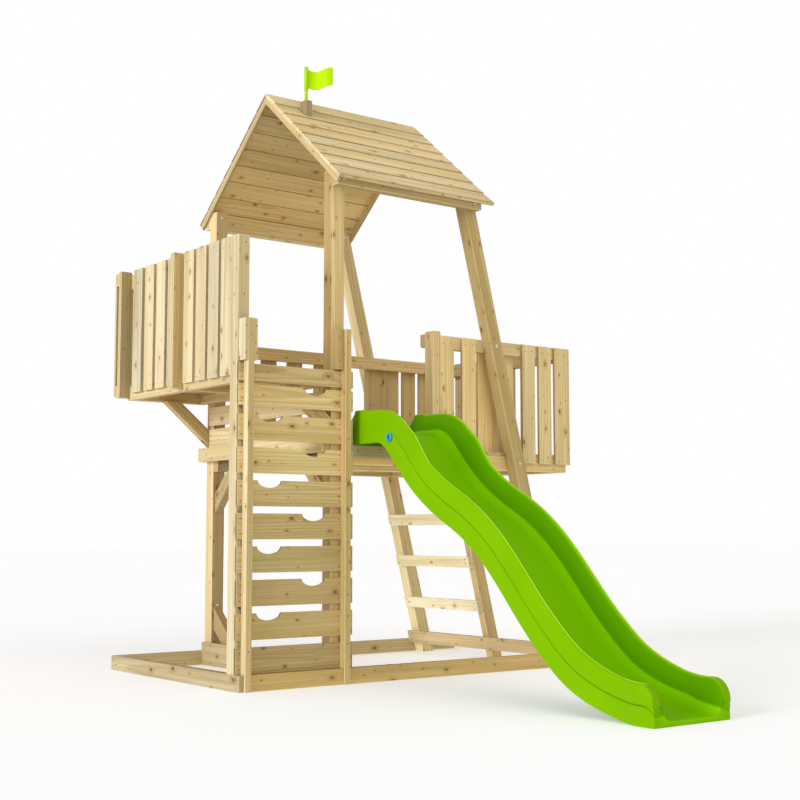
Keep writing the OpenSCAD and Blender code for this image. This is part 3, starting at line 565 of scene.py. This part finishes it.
def make_slide():
    ys = {BACK - (BACK + OUT) * k / 190 for k in range(191)} | {84.0, 81.5, 43.1, 42.6, 41.0, 40.0, 38.5, 37.0, -28.0, -29.0, -31.0, -33.0, -34.0, -35.0, -150.0, -210.0, -1814.2, -1812.0, -1809.0}
    ys = sorted(ys, reverse=True)
    bm = bmesh.new()
    flow = bm.verts.layers.float_vector.new("flow")
    painted_shade = bm.verts.layers.float.new("painted_shade")
    rubbed = bm.verts.layers.float.new("rubbed")
    inside_painted_light = bm.verts.layers.float.new("inside_painted_light")
    painted_highlight = bm.verts.layers.float.new("painted_highlight")
    rows, flats, run, last = [], [], 0.0, None
    for y in ys:
        half, bed = slide_section(y)
        a = tilt(y)
        solid = y < -1625 or y > 42.8
        loop = [(x, d, p) for x, d, p in half] + [(SW - x, d, p) for x, d, p in reversed(half[:-1])]
        up = 0.0 if solid else bed - 10
        wall = WALL + FLARE
        loop += [(SW - wall, 0.0, "under"), (SW - wall, up * 0.5, "under"), (SW - wall, up, "under"), (SW / 2, up, "under"),
                 (wall, up, "under"), (wall, up * 0.5, "under"), (wall, 0.0, "under")]
        # the ends of the walls are eased
        ease_end = 2.5 * clip((y - 81.5) / 3.5) ** 2 + 3.0 * clip((-1809.0 - y) / 6.0) ** 2
        here = Vector((0, y, bottom(y)))
        if last is not None:
            run += (here - last).length
        last = here
        row, flat = [], []
        for x, d, p in loop:
            if p in ("rim", "crest", "in") and ease_end:
                d -= ease_end
            if p in ("out", "groove") and ease_end:
                x += ease_end if x < SW / 2 else -ease_end
            v = bm.verts.new(L(SX + x, y - d * math.sin(a), bottom(y) + d * math.cos(a)))
            v[flow] = Vector((run / 1000, x / 1000, d / 1000))
            # painted shade: inner walls, the crease, the underside, and the bed towards the exit
            v[painted_shade] = {"groove": 0.80 * clip((-196 - y) / 40), "in": 0.74, "cove": 0.06, "under": 0.8}.get(p, 0.0) + (0.12 * clip((-1560 - y) / 120) if p == "bed" else 0.0)
            # painted light on the inside of the chute
            v[inside_painted_light] = 1.0 if p in ("in", "cove", "bed") else 0.0
            # painted highlight on the rim crests, fading out towards the exit
            v[painted_highlight] = clip((y + 1775) / 40) if p == "crest" else 0.0
            v[rubbed] = 1.0 if p in ("bed", "cove") else 0.0
            row.append(v)
            flat.append(Vector((x, d, 0)))
        rows.append(row)
        flats.append(flat)
    n = len(rows[0])
    for r0, r1 in zip(rows, rows[1:]):
        for k in range(n):
            bm.faces.new((r0[k], r0[(k + 1) % n], r1[(k + 1) % n], r1[k]))
    for row, flat in ((rows[0], flats[0]), (rows[-1], flats[-1])):
        for t in tessellate_polygon([flat]):
            bm.faces.new([row[i] for i in t])
    bmesh.ops.dissolve_degenerate(bm, dist=1e-6, edges=bm.edges[:])
    bmesh.ops.recalc_face_normals(bm, faces=bm.faces[:])
    mesh = bpy.data.meshes.new("slide_moulding")
    mark_sharp(bm, 32)
    bm.to_mesh(mesh)
    bm.free()
    o = add_object("slide_moulding", mesh, "tower", "slide_plastic", LIME, "slide_chute")
    # the hole for the hose inlet
    cut = bmesh.new()
    lathe(cut, L(SX + FLARE - 30, -240, 1115), Vector((1, 0, 0)), [(0, 0), (0.013, 0), (0.013, 0.09), (0, 0.09)], 32)
    bmesh.ops.recalc_face_normals(cut, faces=cut.faces[:])
    cm = bpy.data.meshes.new("inlet_hole")
    cut.to_mesh(cm)
    cut.free()
    cutter = bpy.data.objects.new("inlet_hole", cm)
    scene.collection.objects.link(cutter)
    mod = o.modifiers.new("hole", "BOOLEAN")
    mod.object, mod.operation, mod.solver = cutter, "DIFFERENCE", "EXACT"
    dg = bpy.context.evaluated_depsgraph_get()
    drilled = bpy.data.meshes.new_from_object(o.evaluated_get(dg))
    o.modifiers.clear()
    o.data = drilled
    drilled.materials.clear()
    drilled.materials.append(LIME)
    bpy.data.objects.remove(cutter)
    return o


make_slide()


# ------------------------------------------------------------------ hose inlet
def make_inlet():
    bm = bmesh.new()
    base = L(SX + FLARE + 27, -240, 1115)
    # heights run outwards, towards -X
    prof = [(0.0095, 0.0), (0.0120, 0.0), (0.0126, 0.0008), (0.0126, 0.0272), (0.0195, 0.0273), (0.0208, 0.0282), (0.0210, 0.0298), (0.0207, 0.0325),
            (0.0196, 0.0345), (0.0178, 0.0352), (0.0160, 0.0346), (0.0152, 0.0334), (0.0142, 0.0330), (0.0130, 0.0336), (0.0122, 0.0352),
            (0.0112, 0.0359), (0.0101, 0.0356), (0.0095, 0.0346), (0.0095, 0.0)]
    rings, _ = lathe(bm, base, Vector((-1, 0, 0)), prof[:-1], 48)
    for k in range(48):
        bm.faces.new((rings[-1][k], rings[-1][(k + 1) % 48], rings[0][(k + 1) % 48], rings[0][k]))
    bmesh.ops.recalc_face_normals(bm, faces=bm.faces[:])
    mark_sharp(bm, 40)
    mesh = bpy.data.meshes.new("hose_inlet_fitting")
    bm.to_mesh(mesh)
    bm.free()
    add_object("hose_inlet_fitting", mesh, "tower", "inlet_plastic", BLUE, "hose_inlet")


make_inlet()


# ------------------------------------------------------------------ flag
FX, FY = 650.0, 499.0
ALONG = Vector((math.cos(math.radians(-37)), math.sin(math.radians(-37)), 0.0))
ASIDE = Vector((-ALONG.y, ALONG.x, 0.0))


def make_pole():
    bm = bmesh.new()
    z0 = 2836.5
    prof = [(0, 0), (7.4, 0), (8.0, 0.8), (8.0, 83), (8.6, 85.0), (10.0, 86.0), (10.5, 87.0), (10.5, 91.8), (10.0, 92.8), (8.2, 93.0), (8.0, 93.4),
            (8.0, 202.0), (9.8, 202.6), (10.5, 203.6), (10.5, 206.0), (9.8, 207.6), (8.0, 208.8), (5.0, 209.3), (0, 209.5)]
    lathe(bm, L(FX, FY, z0), Vector((0, 0, 1)), [(r / 1000, h / 1000) for r, h in prof], 40)
    bmesh.ops.recalc_face_normals(bm, faces=bm.faces[:])
    mark_sharp(bm, 38)
    mesh = bpy.data.meshes.new("flag_pole_moulding")
    bm.to_mesh(mesh)
    bm.free()
    add_object("flag_pole_moulding", mesh, "tower", "flag_plastic", FLAG, "flag_pole")


def flag_wave(t):
    return 11.0 * math.sin(math.radians(320 * t)) - 8.0 * t


def make_flag():
    bm = bmesh.new()
    nx, nz, span, half = 56, 18, 128.0, 2.0
    z_lo, z_hi = 2933.5, 3034.0
    corner = 11.0
    grid = {}
    for side in (0, 1):
        for i in range(nx + 1):
            t = i / nx
            x = 9.0 + span * t
            y = flag_wave(t)
            slope = (flag_wave(t + 0.001) - flag_wave(t - 0.001)) / (0.002 * span)
            nrm = Vector((-slope, 1.0)).normalized()
            wob = -7.6 * math.sin(2 * math.pi * t * 0.8)
            lo, hi = z_lo + 3.0 + wob, z_hi - 4.0 + wob
            gone = max(0.0, x - (9.0 + span - corner)) / corner
            cut = corner * (1 - math.sqrt(max(0.0, 1 - gone * gone)))
            for k in range(nz + 1):
                z = lo + cut + (hi - lo - 2 * cut) * k / nz
                # the rim is a little thicker than the field
                rim = 1.0 if min(k, nz - k) < 2 or i > nx - 3 else 0.78
                s = (half if side else -half) * rim
                at = ALONG * (x + nrm.x * s) + ASIDE * (y + nrm.y * s)
                grid[side, i, k] = bm.verts.new(L(FX + at.x, FY + at.y, z))
    for side in (0, 1):
        for i in range(nx):
            for k in range(nz):
                q = [grid[side, i, k], grid[side, i + 1, k], grid[side, i + 1, k + 1], grid[side, i, k + 1]]
                bm.faces.new(q if side == 0 else q[::-1])
    edge = [(i, 0) for i in range(nx)] + [(nx, k) for k in range(nz)] + [(i, nz) for i in range(nx, 0, -1)] + [(0, k) for k in range(nz, 0, -1)]
    for (i, k), (j, m) in zip(edge, edge[1:] + edge[:1]):
        bm.faces.new((grid[1, i, k], grid[1, j, m], grid[0, j, m], grid[0, i, k]))
    prof = [(8.08, 0), (9.8, 0), (10.5, 0.9), (10.5, 106.6), (9.9, 107.8), (8.6, 108.0), (8.08, 107.6)]
    rings, _ = lathe(bm, L(FX, FY, 2930), Vector((0, 0, 1)), [(r / 1000, h / 1000) for r, h in prof], 40)
    for k in range(40):
        bm.faces.new((rings[-1][k], rings[-1][(k + 1) % 40], rings[0][(k + 1) % 40], rings[0][k]))
    bmesh.ops.recalc_face_normals(bm, faces=bm.faces[:])
    mark_sharp(bm, 50)
    mesh = bpy.data.meshes.new("flag_moulding")
    bm.to_mesh(mesh)
    bm.free()
    add_object("flag_moulding", mesh, "flag", "flag_plastic", FLAG, "flag")


make_pole()
make_flag()


# ------------------------------------------------------------------ bolts, nails
def make_bolts():
    src = bmesh.new()
    src.from_mesh(nodes["coach_bolts"].data)
    bmesh.ops.remove_doubles(src, verts=src.verts[:], dist=2e-5)
    left, groups = set(src.verts), []
    while left:
        stack = [left.pop()]
        group = list(stack)
        while stack:
            for e in stack.pop().link_edges:
                for w in e.verts:
                    if w in left:
                        left.discard(w)
                        group.append(w)
                        stack.append(w)
        groups.append([v.co.copy() for v in group])
    src.free()
    groups.sort(key=lambda s: tuple(round(c, 4) for c in min(v[:] for v in s)))
    bm = bmesh.new()
    for pts in groups:
        lo = Vector([min(p[i] for p in pts) for i in range(3)])
        hi = Vector([max(p[i] for p in pts) for i in range(3)])
        k = max(range(3), key=lambda i: hi[i] - lo[i])
        mid = (lo + hi) / 2
        wide = lambda end: max((p - mid - (p - mid)[k] * Vector([1.0 if i == k else 0.0 for i in range(3)])).length for p in pts if abs(p[k] - end) < 0.0005)
        head_high = wide(hi[k]) > wide(lo[k])
        out = Vector([((1.0 if head_high else -1.0) if i == k else 0.0) for i in range(3)])
        face = mid.copy()
        face[k] = hi[k] - 0.005 if head_high else lo[k] + 0.005
        length = hi[k] - lo[k] - 0.005
        prof = [(0, -length), (0.0036, -length), (0.0040, -length + 0.001), (0.0040, 0.0), (0.0100, 0.0), (0.0100, 0.0012), (0.0097, 0.0016),
                (0.0082, 0.0017), (0.0080, 0.0026), (0.0070, 0.0040), (0.0054, 0.0047), (0.0038, 0.0050), (0.0034, 0.0047), (0.0030, 0.0026), (0, 0.0024)]
        lathe(bm, face, out, prof, 20)
    bmesh.ops.recalc_face_normals(bm, faces=bm.faces[:])
    mark_sharp(bm, 38)
    mesh = bpy.data.meshes.new("coach_bolt_set")
    bm.to_mesh(mesh)
    bm.free()
    add_object("coach_bolt_set", mesh, "tower", "bolt_zinc", ZINC, "coach_bolts")


def make_nails(name, places, r=3.0, proud=0.5, metal=NAIL):
    """Heads of nails: (x, y, z) in millimetres and the way they face."""
    bm = bmesh.new()
    prof = [(r, -0.6), (r, proud * 0.35), (r * 0.82, proud * 0.85), (r * 0.4, proud), (0, proud)]
    for (x, y, z), out in places:
        lathe(bm, L(x, y, z), Vector(out), [(a / 1000, h / 1000) for a, h in prof], 12)
    bmesh.ops.recalc_face_normals(bm, faces=bm.faces[:])
    mark_sharp(bm, 50)
    mesh = bpy.data.meshes.new(name)
    bm.to_mesh(mesh)
    bm.free()
    return add_object(name, mesh, "tower", "bolt_zinc", metal)


DEP, YI, BT = 1260.0, 115.0, 45.0
jig = random.Random(11)


def j(v, s=2.0):
    return v + jig.uniform(-s, s)


make_bolts()

spots = []
for i in range(8):
    z = 73.2 + 146 * i
    for zz in (z + 24, z + 91):
        spots += [((j(18), 29, j(zz, 3)), (0, -1, 0)), ((j(540), 29, j(zz, 3)), (0, -1, 0)), ((j(602), 29, j(zz, 3)), (0, -1, 0))]
for zz in (1268, 1322, 1378, 1416):
    spots += [((j(18), 29, zz), (0, -1, 0)), ((j(540), 29, zz), (0, -1, 0)), ((j(602), 29, zz), (0, -1, 0))]
make_nails("climbing_wall_nails", spots)

spots = []
for y in (171, 289, 408, 529, 695, 817, 941, 1070):
    for z in (1418, 1985):
        spots += [((38, j(y + 22), j(z, 4)), (-1, 0, 0)), ((38, j(y + 73), j(z, 4)), (-1, 0, 0))]
for i in range(4):
    for z in (1412, 1985):
        spots += [((j(2 + i * 131 + 22), 1301, j(z, 4)), (0, 1, 0)), ((j(2 + i * 131 + 73), 1301, j(z, 4)), (0, 1, 0))]
make_nails("lookout_slat_nails", spots)

spots = []
for x in (1198, 1341, 1750, 1866, 1981):
    for z in (1062, 1635):
        for dx in (22, 66):
            spots.append(((j(x + dx), YI - 16, j(z, 4)), (0, -1, 0)))
for x in (796, 962, 1140, 1754, 1876, 1974):
    for z in (1062, 1635):
        for dx in (24, 71):
            spots.append(((j(x + dx), DEP - YI + 16, j(z, 4)), (0, 1, 0)))
for x in (1496, 1622):
    for dx in (24, 94):
        spots.append(((j(x + dx), YI + BT + 16, j(1636, 4)), (0, 1, 0)))
for y in (99, 242, 385, 528, 671, 814, 957, 1073):
    for z in (1058, 1635):
        for dy in (22, 66):
            spots.append(((2086, j(y + dy), j(z, 4)), (1, 0, 0)))
make_nails("balcony_slat_nails", spots)

PITCH, SLOPE = math.radians(40), 862.0
spots = []
for i in range(8):
    for s, up in ((0.22, 17.0), (0.72, 15.0)):
        d = (i + s) * SLOPE / 8
        z = 2892 - (SLOPE - d) * math.sin(PITCH) + up * math.cos(PITCH)
        y = 630 - (SLOPE - d) * math.cos(PITCH) - up * math.sin(PITCH)
        nrm = Vector((0, -math.sin(PITCH + 0.037), math.cos(PITCH + 0.037)))
        for x in (497, 1434):
            spots.append(((j(x, 3), y, z), nrm))
            spots.append(((j(x, 3), DEP - y, z), (0, -nrm.y, nrm.z)))
make_nails("roof_nails", spots)


def leg_left(z):
    return 1980 - 0.2555 * z - 72.25


spots = []
for z0, z1 in ((728, 789), (496, 557), (260, 319)):
    for z in (z0 + 16, z1 - 16):
        for y in (557, 1158):
            spots.append(((leg_left(z) - 36, j(y), z), (-1, 0, -0.25)))
for z in (74, 102):
    for y in (557, 1180, 78):
        spots.append(((leg_left(z) - 36, j(y), z), (-1, 0, -0.25)))
make_nails("ladder_nails", spots, r=3.6)

spots = []
for y in (20, 1238):
    for z in (20, 52):
        spots.append(((0, y, z), (-1, 0, 0)))
for z in (1165, 1196, 1278, 1312):
    for y in (112, 1148):
        spots.append(((489, j(y), z), (-1, 0, 0)))
for z in (30, 88):
    for y in (72, 1188):
        spots.append(((489, j(y), z), (-1, 0, 0)))
for z in (180, 640, 1120, 1560):
    spots += [((564, -11, j(z, 8)), (0, -1, 0)), ((41, -11, j(z, 8)), (0, -1, 0))]
for z in (1480, 1590):
    spots += [((524, 4, z), (0, -1, 0))]
for z in (1478, 1600):
    spots += [((15, -10, z), (0, -1, 0)), ((66, -10, z), (0, -1, 0))]
for z in (1140, 1330, 1560):
    spots += [((1134, 45, z), (0, -1, 0))]
spots += [((40, 45, 1985), (0, -1, 0)), ((518, 0, 2330), (0, -1, 0)), ((562, 0, 2350), (0, -1, 0)), ((1330, 0, 2332), (0, -1, 0)), ((1375, 0, 2350), (0, -1, 0))]
make_nails("frame_screws", spots, r=3.4)
make_nails("brace_screws", [((517, 1108, 850), (-1, 0, 0)), ((541, 1145, 312), (0, -1, 0))], r=8.0, proud=3.5, metal=ZINC)


# ------------------------------------------------------------------ floor, light, camera
fm = bpy.data.meshes.new("studio_floor")
fb = bmesh.new()
bmesh.ops.create_grid(fb, x_segments=8, y_segments=8, size=60.0)
fb.to_mesh(fm)
fb.free()
floor = bpy.data.objects.new("studio_floor", fm)
scene.collection.objects.link(floor)
floor.location.z = -0.0004
fm.materials.append(floor_material())
floor.visible_diffuse = False  # the studio floor is not a second lamp

world = bpy.data.worlds.new("studio")
scene.world = world
world.use_nodes = True
wt = world.node_tree
wt.nodes.clear()
wo = wt.nodes.new("ShaderNodeOutputWorld")
fill = wt.nodes.new("ShaderNodeBackground")
fill.inputs["Strength"].default_value = 1.0
# light from under the horizon stands for what a pale floor throws back
aim = wt.nodes.new("ShaderNodeTexCoord")
axes = wt.nodes.new("ShaderNodeSeparateXYZ")
wt.links.new(aim.outputs["Generated"], axes.inputs[0])
ramp = wt.nodes.new("ShaderNodeMapRange")
ramp.interpolation_type = "SMOOTHSTEP"
ramp.inputs["From Min"].default_value, ramp.inputs["From Max"].default_value = -0.35, 0.35
wt.links.new(axes.outputs[2], ramp.inputs["Value"])
hue = wt.nodes.new("ShaderNodeMix")
hue.data_type = "RGBA"
hue.inputs[6].default_value = (1.00, 0.955, 0.83, 1.0)
hue.inputs[7].default_value = (0.56, 0.540, 0.485, 1.0)
wt.links.new(ramp.outputs[0], hue.inputs[0])
wt.links.new(hue.outputs[2], fill.inputs["Color"])
seen = wt.nodes.new("ShaderNodeBackground")
seen.inputs["Color"].default_value = (1.0, 1.0, 1.0, 1.0)
seen.inputs["Strength"].default_value = 1.0
path = wt.nodes.new("ShaderNodeLightPath")
both = wt.nodes.new("ShaderNodeMixShader")
wt.links.new(path.outputs["Is Camera Ray"], both.inputs[0])
wt.links.new(fill.outputs[0], both.inputs[1])
wt.links.new(seen.outputs[0], both.inputs[2])
wt.links.new(both.outputs[0], wo.inputs[0])


def sun(name, toward, strength, angle, colour):
    d = bpy.data.lights.new(name, "SUN")
    d.energy, d.angle, d.color = strength, math.radians(angle), colour
    o = bpy.data.objects.new(name, d)
    scene.collection.objects.link(o)
    o.rotation_mode = "QUATERNION"
    o.rotation_quaternion = Vector(toward).to_track_quat("-Z", "Y")
    return o


sun("key", (0.96, 0.12, -0.22), 2.0, 26, (1.0, 1.03, 1.18))
sun("front_fill", (0.10, 0.80, -0.60), 0.60, 50, (1.0, 0.98, 0.92))

scene.view_settings.view_transform = "Standard"
scene.view_settings.look = "None"

cam_data = bpy.data.cameras.new("camera")
cam = bpy.data.objects.new("camera", cam_data)
scene.collection.objects.link(cam)
F_PX, YAW, TILT, ROLL = 1363.17, 0.92323, 0.09691, 0.0
cam_data.sensor_width = 36.0
cam_data.lens = F_PX / 800.0 * 36.0
cam_data.clip_start, cam_data.clip_end = 0.1, 300.0
fwd = Vector((math.cos(YAW) * math.cos(TILT), math.sin(YAW) * math.cos(TILT), math.sin(TILT)))
right = Vector((math.sin(YAW), -math.cos(YAW), 0.0))
upv = right.cross(fwd)
place = Matrix((right, upv, -fwd)).transposed().to_4x4()
place.translation = L(-3037.33, -5166.64, 687.4)
cam.matrix_world = place
scene.camera = cam
